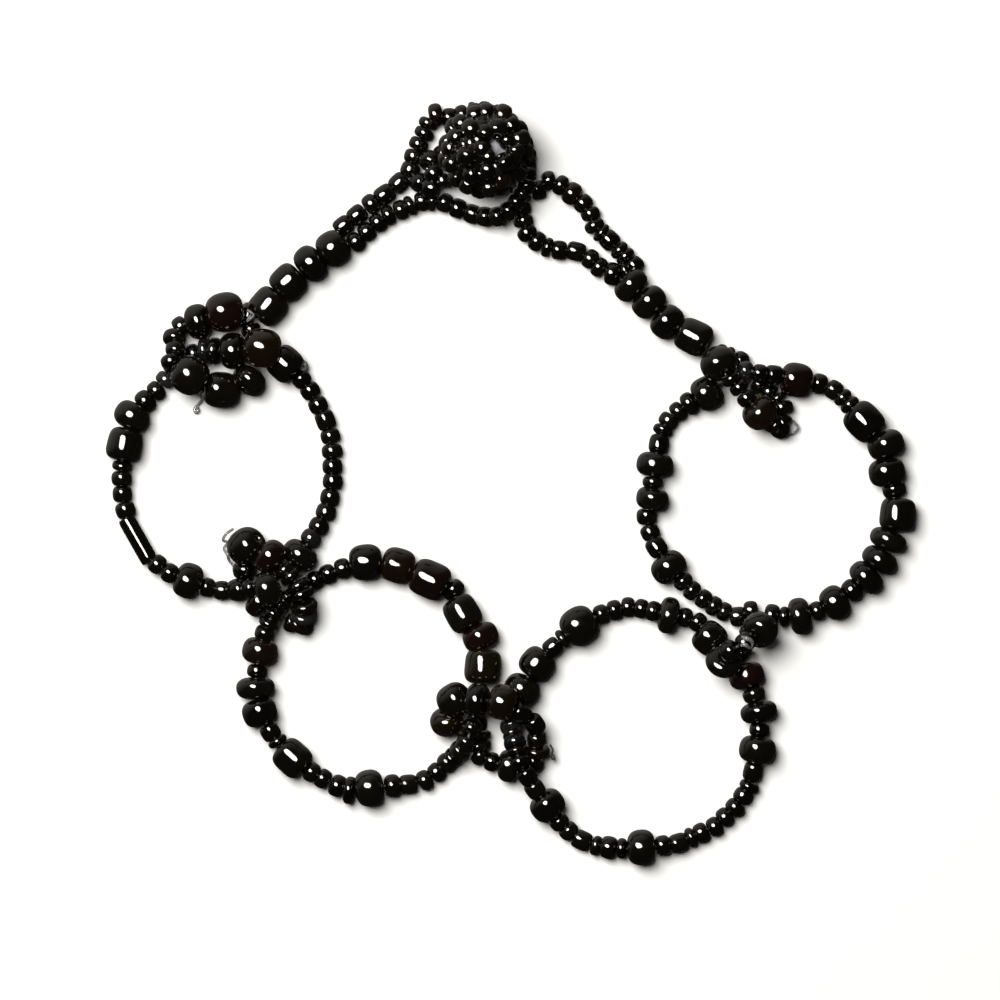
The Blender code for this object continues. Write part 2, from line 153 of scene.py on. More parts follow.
# Each glass by the letter that stands for it in the rows of beads: its body from darkest to
# lightest, and its painted glow: a warm colour painted onto the side away from the lamp, standing
# in for light that has come through the glass, and the share of it that is painted on.
glass = {
    "k": {"name": "blackGlass",
          "dark": (0.0003, 0.0003, 0.0002), "light": (0.0022, 0.0017, 0.0009),
          "paintedGlow": (0.036, 0.021, 0.006), "rimShare": 0.42},
    "w": {"name": "brownGlass",
          "dark": (0.0009, 0.0006, 0.0003), "light": (0.0036, 0.0019, 0.0006),
          "paintedGlow": (0.110, 0.042, 0.007), "rimShare": 0.62},
    "o": {"name": "oliveGlass",
          "dark": (0.0012, 0.0010, 0.0003), "light": (0.0036, 0.0029, 0.0007),
          "paintedGlow": (0.110, 0.080, 0.012), "rimShare": 0.70},
    "r": {"name": "darkRedGlass",
          "dark": (0.0011, 0.0005, 0.0004), "light": (0.0042, 0.0014, 0.0010),
          "paintedGlow": (0.050, 0.011, 0.006), "rimShare": 0.50},
    "b": {"name": "blueGreyGlass",
          "dark": (0.0005, 0.0006, 0.0007), "light": (0.0015, 0.0019, 0.0024),
          "paintedGlow": (0.018, 0.022, 0.028), "rimShare": 0.30},
    "g": {"name": "greyGlass",
          "dark": (0.0022, 0.0022, 0.0020), "light": (0.0080, 0.0080, 0.0080),
          "paintedGlow": (0.090, 0.090, 0.092), "rimShare": 0.55},
}
glassFinish = {
    "roughness": 0.045,
    "roughnessSpread": 0.09,
    "ior": 1.60,
    "cloudScale": 420.0,    # the clouds in the glass
    "cloudDetail": 3.0,
    "cloudRoughness": 0.55,
    "beadShare": 0.65,      # how much of the body's colour goes by the bead,
    "cloudShare": 0.55,     # how much by its clouds,
    "darker": 0.1,          # and how much darker it is all over
    # Where the painted glow goes: the lower side, the side away from the lamp, and streaks in the
    # clouds.
    "lowSide": (0.35, 1.0),
    "awayFromLamp": (0.55, -0.62, -0.2),
    "awaySide": (-0.35, 0.95),
    "awayShare": 0.7,
    "streaks": (0.38, 0.72),
    "streakShare": 0.7,
    "waviness": 0.10,       # how far the surface of a bead departs from a smooth one
    "waveScale": 620.0,
    "waveDetail": 1.5,
    "pitScale": 5200.0,
    "pitShare": 0.06,
    "bumpDepth": 0.0004,
}


def makeGlass(look):
    material, shader = startMaterial(look["name"])
    place = shader.place()
    bead = shader.perBead()
    cloud = shader.noise(place, glassFinish["cloudScale"], glassFinish["cloudDetail"],
                         glassFinish["cloudRoughness"])
    tint = bead * glassFinish["beadShare"] + cloud * glassFinish["cloudShare"]
    body = shader.mixColour((tint - glassFinish["darker"]).clamped(), look["dark"], look["light"])
    # Painted light: a warm glow, standing in for light that has gone through the glass, is painted
    # onto the lower side and the side away from the lamp, in streaks.
    low = (1 - shader.facing((0.0, 0.0, 1.0))).step(*glassFinish["lowSide"])
    away = shader.facing(glassFinish["awayFromLamp"]).step(*glassFinish["awaySide"])
    streaks = cloud.step(*glassFinish["streaks"])
    paintedGlowMask = away.softened(glassFinish["awayShare"]) * streaks.softened(glassFinish["streakShare"])
    colour = shader.mixColour((low * paintedGlowMask * look["rimShare"]).clamped(), body, look["paintedGlow"])
    wave = shader.noise(place, glassFinish["waveScale"], glassFinish["waveDetail"])
    pits = shader.noise(place, glassFinish["pitScale"]) * glassFinish["pitShare"]
    shader.dress({
        "Base Color": colour,
        "Roughness": cloud * glassFinish["roughnessSpread"] * bead + glassFinish["roughness"],
        "Normal": shader.bump(wave + pits, glassFinish["waviness"], glassFinish["bumpDepth"]),
        "IOR": glassFinish["ior"],
        "Metallic": 0.0,
    })
    return material


threads = {
    "black": {"name": "blackThread", "dark": (0.010, 0.009, 0.008), "light": (0.035, 0.032, 0.028),
              "roughness": 0.45, "plied": 0.60, "clarity": {}},
    "clear": {"name": "clearThread", "dark": (0.06, 0.06, 0.06), "light": (0.42, 0.42, 0.41),
              "roughness": 0.04, "plied": 0.05,
              "clarity": {"Transmission Weight": 0.60, "IOR": 1.55}},
}
threadFinish = {
    "twistScale": 900.0,
    "twistBend": 1.5,
    "fuzzScale": 2400.0,
    "fuzzHeight": 0.2,
    "roughnessSpread": 0.2,
    "bumpStrength": 0.6,
    "bumpDepth": 0.0001,
}


def makeThreadFinish(look):
    material, shader = startMaterial(look["name"])
    place = shader.place()
    inputs = {"Vector": place, "Scale": threadFinish["twistScale"],
              "Distortion": threadFinish["twistBend"]}
    twist = shader.node("ShaderNodeTexWave", {"bands_direction": "DIAGONAL"}, inputs)
    twist = twist * look["plied"]
    fuzz = shader.noise(place, threadFinish["fuzzScale"])
    share = (twist + fuzz * (1 - look["plied"])).clamped()
    shader.dress({
        "Base Color": shader.mixColour(share, look["dark"], look["light"]),
        "Roughness": fuzz * threadFinish["roughnessSpread"] + look["roughness"],
        "Normal": shader.bump(twist + fuzz * threadFinish["fuzzHeight"],
                              threadFinish["bumpStrength"], threadFinish["bumpDepth"]),
        "Metallic": 0.0,
        **look["clarity"],
    })
    return material


# The core is a grey pearl, but its colour is set darker than its own: painted shade for the recess
# it lies in under the beads of the ball.
coreFinish = {
    "dark": (0.105, 0.110, 0.118),
    "light": (0.215, 0.215, 0.240),
    "cloudScale": 350.0,
    "cloudDetail": 3.0,
    "roughness": 0.28,
    "roughnessSpread": 0.2,
    "grainScale": 1800.0,
    "bumpStrength": 0.15,
    "bumpDepth": 0.0003,
}


def makeCoreFinish():
    material, shader = startMaterial("shadedCorePearl")
    place = shader.place()
    cloud = shader.noise(place, coreFinish["cloudScale"], coreFinish["cloudDetail"])
    grain = shader.noise(place, coreFinish["grainScale"])
    shader.dress({
        "Base Color": shader.mixColour(cloud, coreFinish["dark"], coreFinish["light"]),
        "Roughness": cloud * coreFinish["roughnessSpread"] + coreFinish["roughness"],
        "Normal": shader.bump(grain, coreFinish["bumpStrength"], coreFinish["bumpDepth"]),
        "Metallic": 0.0,
    })
    return material


glassOrder = list(glass)
glassMaterials = [makeGlass(look) for look in glass.values()]
threadMaterials = {name: makeThreadFinish(look) for name, look in threads.items()}
shadedPearl = makeCoreFinish()
print("finishes made")


# A bead's width across the thread and length along it in mm, the width of its hole, and how square
# its outline is: 2 is round, and more is squarer.
Bead = namedtuple("Bead", "width length hole square")
beadSizes = {
    "s": Bead(2.20, 1.55, 0.85, 2.55),  # seed beads: round,
    "n": Bead(2.25, 1.00, 0.85, 2.40),  # thin,
    "l": Bead(2.15, 1.95, 0.85, 3.00),  # long,
    "b": Bead(1.90, 5.30, 0.80, 9.00),  # and a tube
    "m": Bead(2.55, 1.70, 0.95, 2.50),  # medium beads: round
    "w": Bead(3.00, 1.20, 0.95, 2.60),  # and flat
    "R": Bead(3.95, 2.90, 1.05, 2.40),  # large beads: round,
    "D": Bead(4.05, 2.40, 1.05, 2.40),  # flat,
    "B": Bead(3.90, 3.70, 1.05, 3.20),  # barrel,
    "Q": Bead(3.80, 3.30, 1.05, 2.60),  # long and round,
    "A": Bead(4.20, 4.10, 1.05, 2.30),  # ball,
    "G": Bead(4.15, 4.10, 1.05, 3.10),  # big barrel,
    "r": Bead(3.60, 2.60, 1.00, 2.40),  # and a smaller round one
    "t": Bead(0.50, 0.80, 0.0, 2.0),    # a length of bare thread
}
large = "RDBQAGr"
barrels = "BG"      # large beads with a straight side
beading = {
    "largeWidth": 3.95,     # mm, which the rows' heights are shares of
    "largeFrom": 3.2,       # mm, the width from which a bead has the finer mesh
    "smallSides": 22,
    "largeSides": 44,
    "smallSteps": 12,
    "largeSteps": 26,
    "fill": 1.01,           # share of its room on the thread that a bead takes
    "widthSpread": (-0.035, 0.035),
    "lengthSpread": (-0.03, 0.012),
    "tilt": 4.5,            # degrees
    "largeTilt": 0.35,      # share of that tilt that a large bead has
    "level": 0.4,           # share of the thread's slope that a large bead keeps
    "barrelTurn": 0.8,      # how far a barrel turns its side to the lamp
    "lampSide": (-0.135, 0.13, 0.98),
    "drift": 0.07,          # mm off the thread's line
    "dent": 0.022,          # how uneven a large bead's outline is
    "smallDent": 0.6,       # share of that dent that a small bead has
    # The dents: how many go round a bead, their share, and how far they twist along it.
    "dents": ((2, 0.6, 0.0), (3, 0.4, 2.0), (0, 0.5, 5.0)),
    "endRound": 0.96,       # under 1 makes the ends rounder than the side
    "edge": 0.36,           # share of its length off its middle where a leaning bead touches
    "holeLength": 0.36,     # the same where its hole starts to open
    "holeWidth": 0.8,       # width of the hole inside, as a share of its mouth
    "threadWidth": 0.34,    # mm
    "threadStep": 0.5,      # mm
    "routeSteps": 16,
}
# How far up a bead of a flat string has its middle, as a share of half its width.
facetDrop = math.cos(math.pi / 10)
lampSide = Vector(beading["lampSide"]).normalized()

# A row is a bead that the string is pinned at: its middle in mm, its height as a share of the large
# beads' width (0 for a bead that rests), the beads from it up to the next row, and their glass.
Row = namedtuple("Row", "x y rise beads tints")


def rowPoint(row, seatShare):
    seat = beadSizes[row.beads[0]].width / 2 * seatShare
    height = max(row.rise * beading["largeWidth"], seat)
    return Vector((row.x, row.y, height)) * mm


def curveBetween(p0, p1, p2, p3, share):
    # A smooth curve from p1 to p2, with p0 before them and p3 after.
    t1 = (p1 - p0).length ** 0.5
    t2 = t1 + (p2 - p1).length ** 0.5
    t3 = t2 + (p3 - p2).length ** 0.5
    t = t1 + (t2 - t1) * share
    a1 = p0.lerp(p1, t / t1)
    a2 = p1.lerp(p2, (t - t1) / (t2 - t1))
    a3 = p2.lerp(p3, (t - t2) / (t3 - t2))
    b1 = a1.lerp(a2, t / t2)
    b2 = a2.lerp(a3, (t - t1) / (t3 - t1))
    return b1.lerp(b2, (t - t1) / (t2 - t1))


class Route:
    # The smooth line of a string, measured along its length.

    def __init__(self, rows, closed, seatShare):
        knots = [rowPoint(row, seatShare) for row in rows]
        count = len(knots)
        steps = beading["routeSteps"]
        self.closed = closed
        self.points = [knots[0]]
        self.lengths = [0.0]
        self.marks = [0.0]
        for i in range(count if closed else count - 1):
            p1, p2 = knots[i], knots[(i + 1) % count]
            p0 = knots[i - 1] if closed or i > 0 else p1 * 2 - p2
            p3 = knots[(i + 2) % count] if closed or i + 2 < count else p2 * 2 - p1
            for step in range(1, steps + 1):
                point = curveBetween(p0, p1, p2, p3, step / steps)
                self.lengths.append(self.lengths[-1] + (point - self.points[-1]).length)
                self.points.append(point)
            self.marks.append(self.lengths[-1])

    def at(self, distance):
        total = self.lengths[-1]
        if self.closed:
            distance %= total
        elif distance <= 0.0:
            return self.points[0] + (self.points[1] - self.points[0]).normalized() * distance
        elif distance >= total:
            ahead = (self.points[-1] - self.points[-2]).normalized()
            return self.points[-1] + ahead * (distance - total)
        low, high = 0, len(self.lengths) - 1
        while high - low > 1:
            middle = (low + high) // 2
            if self.lengths[middle] <= distance:
                low = middle
            else:
                high = middle
        share = (distance - self.lengths[low]) / (self.lengths[high] - self.lengths[low])
        return self.points[low].lerp(self.points[high], share)

    def spread(self, gap):
        # Places along the whole route, about this far apart.
        total = self.lengths[-1]
        count = int(total / gap)
        return [self.at(total * i / count) for i in range(count if self.closed else count + 1)]


def threadBeads(rows, route):
    # Each bead with its glass and where it starts and ends along the route. The beads between two
    # rows are all made shorter or longer by the same share, so that they fill the thread.
    spans = len(route.marks) - 1
    scales = []
    for i in range(spans):
        kinds = rows[i].beads
        after = rows[(i + 1) % len(rows)].beads[0]
        room = sum(beadSizes[kind].length for kind in kinds)
        room += (beadSizes[after].length - beadSizes[kinds[0]].length) / 2
        scales.append((route.marks[i + 1] - route.marks[i]) / room)
    beads = []
    for i, row in enumerate(rows):
        scaleAfter = scales[i] if i < spans else scales[-1]
        scaleBefore = scales[i - 1] if route.closed or i > 0 else scales[0]
        half = beadSizes[row.beads[0]].length / 2
        place = route.marks[i] + half * scaleAfter
        beads.append((row.beads[0], row.tints[0], route.marks[i] - half * scaleBefore, place))
        for kind, tint in zip(row.beads[1:], row.tints[1:]):
            end = place + beadSizes[kind].length * scaleAfter
            beads.append((kind, tint, place, end))
            place = end
    return beads


class BeadMesh:
    # Collects the faces of many beads into one mesh.

    def __init__(self, name):
        self.name = name
        self.corners = []
        self.faces = []
        self.slots = []

    def addBead(self, middle, axis, size, length, width, tint, chance):
        big = width > beading["largeFrom"] * mm
        sides = beading["largeSides"] if big else beading["smallSides"]
        hole = size.hole * mm / 2
        turn = axis.to_track_quat("Z", "Y").to_matrix().to_4x4()
        turn = turn @ Matrix.Rotation(chance.uniform(0, math.tau), 4, "Z")
        phases = [chance.uniform(0, math.tau) for _ in beading["dents"]]
        dent = beading["dent"] if big else beading["dent"] * beading["smallDent"]
        rings = self.outline(size, length, width, hole, big)
        first = len(self.corners)
        for along, radius in rings:
            for side in range(sides):
                a = math.tau * side / sides
                uneven = 1.0
                for (waves, share, twist), phase in zip(beading["dents"], phases):
                    uneven += dent * share * math.sin(waves * a + phase + twist * along / length)
                reach = radius * uneven
                corner = Vector((reach * math.cos(a), reach * math.sin(a), along))
                self.corners.append(middle + turn @ corner)
        for ring in range(len(rings)):
            here = first + ring * sides
            ahead = first + (ring + 1) % len(rings) * sides
            for side in range(sides):
                beside = (side + 1) % sides
                self.faces.append((here + side, here + beside, ahead + beside, ahead + side))
                self.slots.append(glassOrder.index(tint))

    def outline(self, size, length, width, hole, big):
        # Half of a bead's section as places along it and radii, round its side and back through
        # its hole.
        steps = beading["largeSteps"] if big else beading["smallSteps"]
        rings = []
        for step in range(steps + 1):
            angle = math.pi * (step / steps - 0.5)
            along = math.copysign(abs(math.sin(angle)) ** (2 / size.square), angle)
            out = max(math.cos(angle), 0.0) ** (2 / (size.square * beading["endRound"]))
            rings.append((along * length / 2, hole + (width / 2 - hole) * out))
        inner = length * beading["holeLength"]
        waist = hole * beading["holeWidth"]
        return rings + [(inner, waist), (-inner, waist)]

    def finish(self):
        mesh = bpy.data.meshes.new(self.name)
        mesh.from_pydata([tuple(corner) for corner in self.corners], [], self.faces)
        for material in glassMaterials:
            mesh.materials.append(material)
        mesh.polygons.foreach_set("material_index", self.slots)
        mesh.polygons.foreach_set("use_smooth", [True] * len(self.faces))
        mesh.update()
        piece = bpy.data.objects.new(self.name, mesh)
        bpy.context.scene.collection.objects.link(piece)
        return piece


def makeThread(name, points, width, closed, material):
    curve = bpy.data.curves.new(name, "CURVE")
    curve.dimensions = "3D"
    curve.bevel_depth = width / 2
    curve.bevel_resolution = 2
    curve.use_fill_caps = not closed
    spline = curve.splines.new("POLY")
    spline.points.add(len(points) - 1)
    spline.use_cyclic_u = closed
    spline.use_smooth = True
    for point, place in zip(spline.points, points):
        point.co = (*place, 1.0)
    curve.materials.append(material)
    piece = bpy.data.objects.new(name, curve)
    bpy.context.scene.collection.objects.link(piece)
    return piece


def beadAxis(kind, direction, steep, chance):
    # A bead leans a little at random. A large one in a flat string lies nearly level, and a barrel
    # turns a little, so that a highlight runs along its side.
    lean = math.tan(math.radians(beading["tilt"]))
    if kind in large:
        lean *= beading["largeTilt"]
    axis = direction.normalized() + Vector([chance.uniform(-lean, lean) for _ in range(3)])
    if kind in large and not steep:
        axis.z *= beading["level"]
    if kind in barrels:
        axis -= lampSide * axis.dot(lampSide) * beading["barrelTurn"]
    return axis.normalized()


def makeString(string):
    node = string["node"]
    closed = string["closed"]
    steep = string["steep"]
    chance = random.Random(string["seed"])
    route = Route(string["rows"], closed, 1.0 if steep else facetDrop)
    mesh = BeadMesh(node + "_beads")
    drift = beading["drift"] * mm
    for kind, tint, start, end in threadBeads(string["rows"], route):
        if kind == "t":
            continue
        size = beadSizes[kind]
        width = size.width * mm * (1 + chance.uniform(*beading["widthSpread"]))
        length = (end - start) * beading["fill"] * (1 + chance.uniform(*beading["lengthSpread"]))
        middle = route.at((start + end) / 2)
        axis = beadAxis(kind, route.at(end) - route.at(start), steep, chance)
        middle += Vector((chance.uniform(-drift, drift), chance.uniform(-drift, drift), 0.0))
        # A bead that leans keeps its lowest edge on the surface.
        level = math.sqrt(max(1 - axis.z ** 2, 0.0))
        middle.z = max(middle.z, width / 2 * level + abs(axis.z) * length * beading["edge"])
        mesh.addBead(middle, axis, size, length, width, tint, chance)
    piece = mesh.finish()
    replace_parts(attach(piece, "root"), node)
    width = beading["threadWidth"] * mm
    points = route.spread(beading["threadStep"] * mm)
    for point in points:
        point.z = max(point.z, width / 2)
    thread = makeThread(node + "_thread", points, width, closed, threadMaterials["black"])
    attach(thread, "root")
    print(node, "made,", len(mesh.faces), "faces")


hoopOne = {
    "node": "hoop_1", "closed": True, "steep": False, "seed": 11,
    "rows": [
        Row(-35, 14.4, 0, "sww", "bgk"),
        Row(-30.7, 14.6, 0.7, "D", "k"),
        Row(-26.7, 14.95, 1.0, "A", "w"),
        Row(-25.05, 13.5, 0.62, "B", "k"),
        Row(-23, 11.6, 0.35, "sss", "kkk"),
        Row(-20.4, 7, 0, "lss", "kkk"),
        Row(-19.6, 2.1, 0, "sss", "kkk"),
        Row(-20.4, -3.1, 0, "sss", "kkg"),
        Row(-23.35, -7.85, 0, "Rt", "kk"),
        Row(-24.5, -9.1, 0.15, "ttttt", "kkkkk"),
        Row(-26.8, -11.5, 1.24, "Rt", "kk"),
        Row(-28.35, -11.4, 0.78, "sm", "kk"),
        Row(-31.9, -11.6, 0, "ss", "kk"),
        Row(-35.4, -10.6, 0, "Rs", "kk"),
        Row(-38.9, -8.8, 0.47, "s", "k"),
        Row(-40.9, -6.4, 0.34, "b", "k"),
        Row(-42.4, -2.8, 0, "ss", "kk"),
        Row(-42.8, 0.7, 0.4, "sn", "kk"),
        Row(-42.45, 4.5, 0, "B", "k"),
        Row(-41.6, 7.4, 0, "Rm", "kk"),
        Row(-38.9, 10.4, 0, "ssss", "kgkk"),
    ],
}
hoopTwo = {
    "node": "hoop_2", "closed": True, "steep": False, "seed": 18,
    "rows": [
        Row(-21.6, -10.5, 0, "sss", "kkk"),
        Row(-16, -8.5, 0, "Q", "k"),
        Row(-12.5, -8.9, 0, "Q", "w"),
        Row(-8.8, -10.5, 0, "G", "r"),
        Row(-6.4, -11.6, 0, "m", "k"),
        Row(-5.35, -14.2, 0, "B", "k"),
        Row(-3.35, -16.7, 0, "R", "r"),
        Row(-3.1, -20, 0, "Btt", "okk"),
        Row(-3.6, -23.7, 0.12, "tttt", "kkkk"),
        Row(-4.4, -26.8, 0.95, "s", "k"),
        Row(-4.9, -28.2, 0.95, "ssn", "kkk"),
        Row(-7.1, -30.6, 0.3, "ss", "kk"),
        Row(-9.5, -32.5, 0, "slm", "kkk"),
        Row(-15.4, -33.25, 0, "R", "k"),
        Row(-17.7, -33.6, 0, "wmss", "kkkk"),
        Row(-24.1, -29.9, 0, "Bnl", "kkk"),
        Row(-27.5, -25.1, 0, "R", "k"),
        Row(-28, -22.3, 0, "Ds", "kk"),
        Row(-27.6, -18.4, 0, "Rsn", "wkk"),
        Row(-26.1, -14.2, 0.82, "nnn", "kkk"),
        Row(-24.7, -12.6, 0.33, "st", "kk"),
        Row(-23.2, -11.5, 0.12, "tt", "kk"),
    ],
}
hoopThree = {
    "node": "hoop_3", "closed": True, "steep": False, "seed": 25,
    "rows": [
        Row(1.1, -22.5, 0, "R", "k"),
        Row(2.9, -19.6, 0, "Qln", "kkk"),
        Row(7.5, -15.5, 0, "Ass", "kkk"),
        Row(12.9, -13.5, 0, "sss", "kkk"),
        Row(17.3, -14.3, 0, "Ds", "kk"),
        Row(20.45, -15.1, 0, "s", "k"),
        Row(21.8, -16.8, 0, "Qtt", "kkk"),
        Row(25.4, -18.8, 0.32, "mt", "kk"),
        Row(25.85, -20.75, 0, "Qm", "rk"),
        Row(27.2, -25, 0, "Ds", "kk"),
        Row(27.1, -29, 0, "Rln", "kkk"),
        Row(25.5, -34.3, 0, "ssss", "kkkk"),
        Row(21, -38.3, 0, "snls", "kkkk"),
        Row(14.3, -39.9, 0, "Rnmn", "kkkk"),
        Row(7.8, -39.1, 0, "lss", "kkk"),
        Row(4, -35.3, 0.6, "Rll", "kkk"),
        Row(0.9, -30.3, 1.18, "sn", "kk"),
        Row(0.5, -28.4, 0.98, "mn", "bk"),
        Row(0.1, -26.6, 0.6, "mtt", "gkk"),
        Row(0.4, -24.6, 0.14, "tt", "kk"),
    ],
}
hoopFour = {
    "node": "hoop_4", "closed": True, "steep": False, "seed": 32,
    "rows": [
        Row(27.2, 12.2, 0.82, "sl", "kk"),
        Row(31.3, 11.55, 0, "Qs", "rk"),
        Row(35.4, 10.4, 0, "snn", "kkk"),
        Row(38.9, 6.75, 0, "B", "k"),
        Row(41.2, 4.4, 0, "R", "k"),
        Row(41.2, 1.4, 0, "R", "k"),
        Row(42.1, -0.6, 0, "m", "k"),
        Row(42.45, -3.4, 0, "B", "k"),
        Row(41.45, -6, 0, "D", "k"),
        Row(40.5, -8.2, 0, "D", "k"),
        Row(39, -10.1, 0, "Dm", "kk"),
        Row(35.4, -13, 0, "Rs", "kk"),
        Row(31.8, -14.4, 0, "Dn", "kk"),
        Row(28.55, -14.4, 0.36, "m", "k"),
        Row(27.5, -14.1, 0.36, "t", "k"),
        Row(26.4, -13.85, 0.36, "s", "k"),
        Row(24.85, -14.45, 0.2, "ls", "kk"),
        Row(22.3, -13.35, 0, "ssss", "kkkk"),
        Row(17.4, -9.1, 0, "Rls", "kkk"),
        Row(14.9, -3.6, 0, "s", "k"),
        Row(15.5, -1.4, 0, "rs", "kk"),
        Row(15.75, 2, 0, "Rln", "kkk"),
        Row(17.3, 7.1, 0, "ssm", "kkk"),
        Row(21.5, 10, 0, "Qt", "kk"),
        Row(23.8, 11.4, 0.35, "ttt", "kkk"),
        Row(25.7, 12.5, 0.74, "s", "g"),
    ],
}
linkLeft = {
    "node": "link_left", "closed": True, "steep": True, "seed": 39,
    "rows": [
        Row(-29.1, 18.6, 0, "w", "k"),
        Row(-31.9, 18.8, 0.8, "A", "r"),
        Row(-34.1, 17.9, 0, "R", "k"),
        Row(-36.3, 17.4, 0.45, "s", "k"),
        Row(-37, 16.2, 0.55, "m", "k"),
        Row(-36.85, 14.8, 0.75, "s", "k"),
        Row(-37.2, 13.4, 0.9, "s", "k"),
        Row(-35.3, 12, 1.0, "A", "k"),
        Row(-31.6, 10.4, 0.6, "A", "k"),
        Row(-28.7, 11.5, 0, "Rttt", "kkkk"),
        Row(-28.1, 14.8, 0.1, "tt", "kk"),
        Row(-28.6, 17.1, 0, "s", "k"),
        Row(-28.4, 18, 0.35, "t", "k"),
    ],
}
linkOne = {
    "node": "link_1", "closed": True, "steep": True, "seed": 46,
    "rows": [
        Row(-29.25, -9.6, 0.33, "m", "k"),
        Row(-29.05, -6.8, 0.62, "R", "k"),
        Row(-26, -8.15, 0.9, "R", "r"),
        Row(-24.9, -9.3, 0.88, "mm", "kk"),
        Row(-23.5, -10.9, 0.9, "ww", "kk"),
        Row(-22.7, -13.2, 0.84, "ww", "kg"),
        Row(-23, -15.05, 0, "w", "k"),
        Row(-24.1, -15.1, 0, "st", "wk"),
        Row(-25.7, -14.2, 0.1, "ttt", "kkk"),
        Row(-27.55, -12.8, 0, "rt", "wk"),
        Row(-28.8, -11.6, 0.1, "ttt", "kkk"),
    ],
}
linkTwo = {
    "node": "link_2", "closed": True, "steep": True, "seed": 53,
    "rows": [
        Row(-7.05, -26.1, 0.5, "r", "w"),
        Row(-6.1, -23.6, 0.82, "Q", "k"),
        Row(-3.7, -23.7, 1.06, "D", "k"),
        Row(-1, -23.8, 1.28, "R", "w"),
        Row(1.1, -25, 1.15, "l", "k"),
        Row(2.6, -26.2, 0.95, "l", "k"),
        Row(2.8, -27.9, 0.68, "sw", "kw"),
        Row(2.4, -30.5, 0.33, "mn", "kk"),
        Row(-0.3, -30.8, 0, "rs", "kk"),
        Row(-3.3, -29.9, 0, "s", "k"),
        Row(-3.7, -28.5, 0, "ww", "kk"),
        Row(-3.85, -26.35, 0.25, "wt", "kk"),
        Row(-5.1, -27.8, 0.1, "ttt", "kkk"),
    ],
}
linkThree = {
    "node": "link_3", "closed": True, "steep": True, "seed": 60,
    "rows": [
        Row(23.35, -19.25, 1.22, "R", "k"),
        Row(23.55, -18.55, 1.42, "m", "k"),
        Row(25.9, -17, 1.47, "s", "k"),
        Row(27.2, -15.9, 1.22, "Rtt", "kkk"),
        Row(27.5, -14.2, 0.52, "ttt", "kkk"),
        Row(27.5, -14.65, 0.09, "ttt", "kkk"),
        Row(26.2, -16.2, 0.27, "stt", "kkk"),
        Row(24.6, -18.6, 0.09, "tttt", "kkkk"),
        Row(22.9, -20.6, 0.45, "ttt", "kkk"),
    ],
}
linkRight = {
    "node": "link_right", "closed": True, "steep": True, "seed": 67,
    "rows": [
        Row(22.7, 13.3, 1.05, "As", "kk"),
        Row(24.9, 10.6, 0.95, "ss", "kk"),
        Row(27.2, 8, 0.92, "Rn", "wk"),
        Row(29.4, 6.4, 0, "wn", "kk"),
        Row(29.8, 8.4, 0, "mn", "kk"),
        Row(28.4, 10.2, 0, "s", "k"),
        Row(27.2, 11, 0, "st", "kk"),
        Row(26.4, 12.4, 0.1, "tt", "kk"),
        Row(25.15, 13.65, 0, "sn", "kk"),
        Row(23.1, 14.25, 0.35, "nnn", "kkk"),
    ],
}
stemLeft = {
    "node": "stem_left", "closed": False, "steep": False, "seed": 74,
    "rows": [
        Row(-26.75, 19.5, 0, "B", "k"),
        Row(-24.3, 22.2, 0, "B", "k"),
        Row(-22.2, 24.1, 0, "R", "k"),
        Row(-19.5, 25.9, 0, "R", "k"),
    ],
}
stemRight = {
    "node": "stem_right", "closed": False, "steep": False, "seed": 81,
    "rows": [
        Row(13.2, 21.9, 0, "R", "k"),
        Row(15.1, 20.1, 0, "R", "k"),
        Row(17.2, 17.8, 0, "R", "k"),
        Row(20.1, 16.2, 0, "B", "k"),
    ],
}
toggleLoop = {
    "node": "toggle_loop", "closed": False, "steep": False, "seed": 88,
    "rows": [
        Row(-18.45, 28.35, 0, "ll", "kk"),
        Row(-15.4, 30.75, 0, "sl", "kk"),
        Row(-12.2, 33.2, 0, "l", "k"),
        Row(-11.1, 34.5, 0.1, "s", "k"),
        Row(-10.7, 36.2, 0, "ss", "kk"),
        Row(-9.55, 38.65, 0, "ss", "kk"),
        Row(-8.4, 40.6, 0, "m", "r"),
        Row(-6.7, 40.35, 0, "ssn", "kkk"),
        Row(-3, 41.1, 0, "ss", "kk"),
        Row(-0.2, 39.8, 0, "ss", "kk"),
        Row(1.45, 37.5, 0.3, "sn", "kk"),
        Row(1.65, 35.1, 0.58, "ss", "kk"),
        Row(1.65, 32.7, 0.95, "sn", "kk"),
        Row(0.6, 31, 0.96, "ss", "kk"),
        Row(-1.4, 29.4, 0.7, "ss", "kk"),
        Row(-4.3, 29.8, 0, "ss", "kk"),
        Row(-7.4, 31, 0, "sn", "kk"),
        Row(-9.8, 31.2, 0, "sn", "kk"),
        Row(-12.2, 30.1, 0, "ss", "kk"),
        Row(-14.6, 28.9, 0, "ss", "kk"),
        Row(-17.05, 26.7, 0, "s", "k"),
    ],
}
toggleInner = {
    "node": "toggle_inner", "closed": False, "steep": False, "seed": 95,
    "rows": [
        Row(-9.95, 33.15, 0.45, "s", "b"),
        Row(-8.75, 32.45, 0.75, "s", "k"),
        Row(-7.5, 33.4, 0.6, "s", "k"),
        Row(-8.5, 34.05, 0.75, "s", "k"),
        Row(-8.8, 35.5, 0.5, "m", "k"),
        Row(-7.5, 36.15, 0.3, "s", "k"),
    ],
}
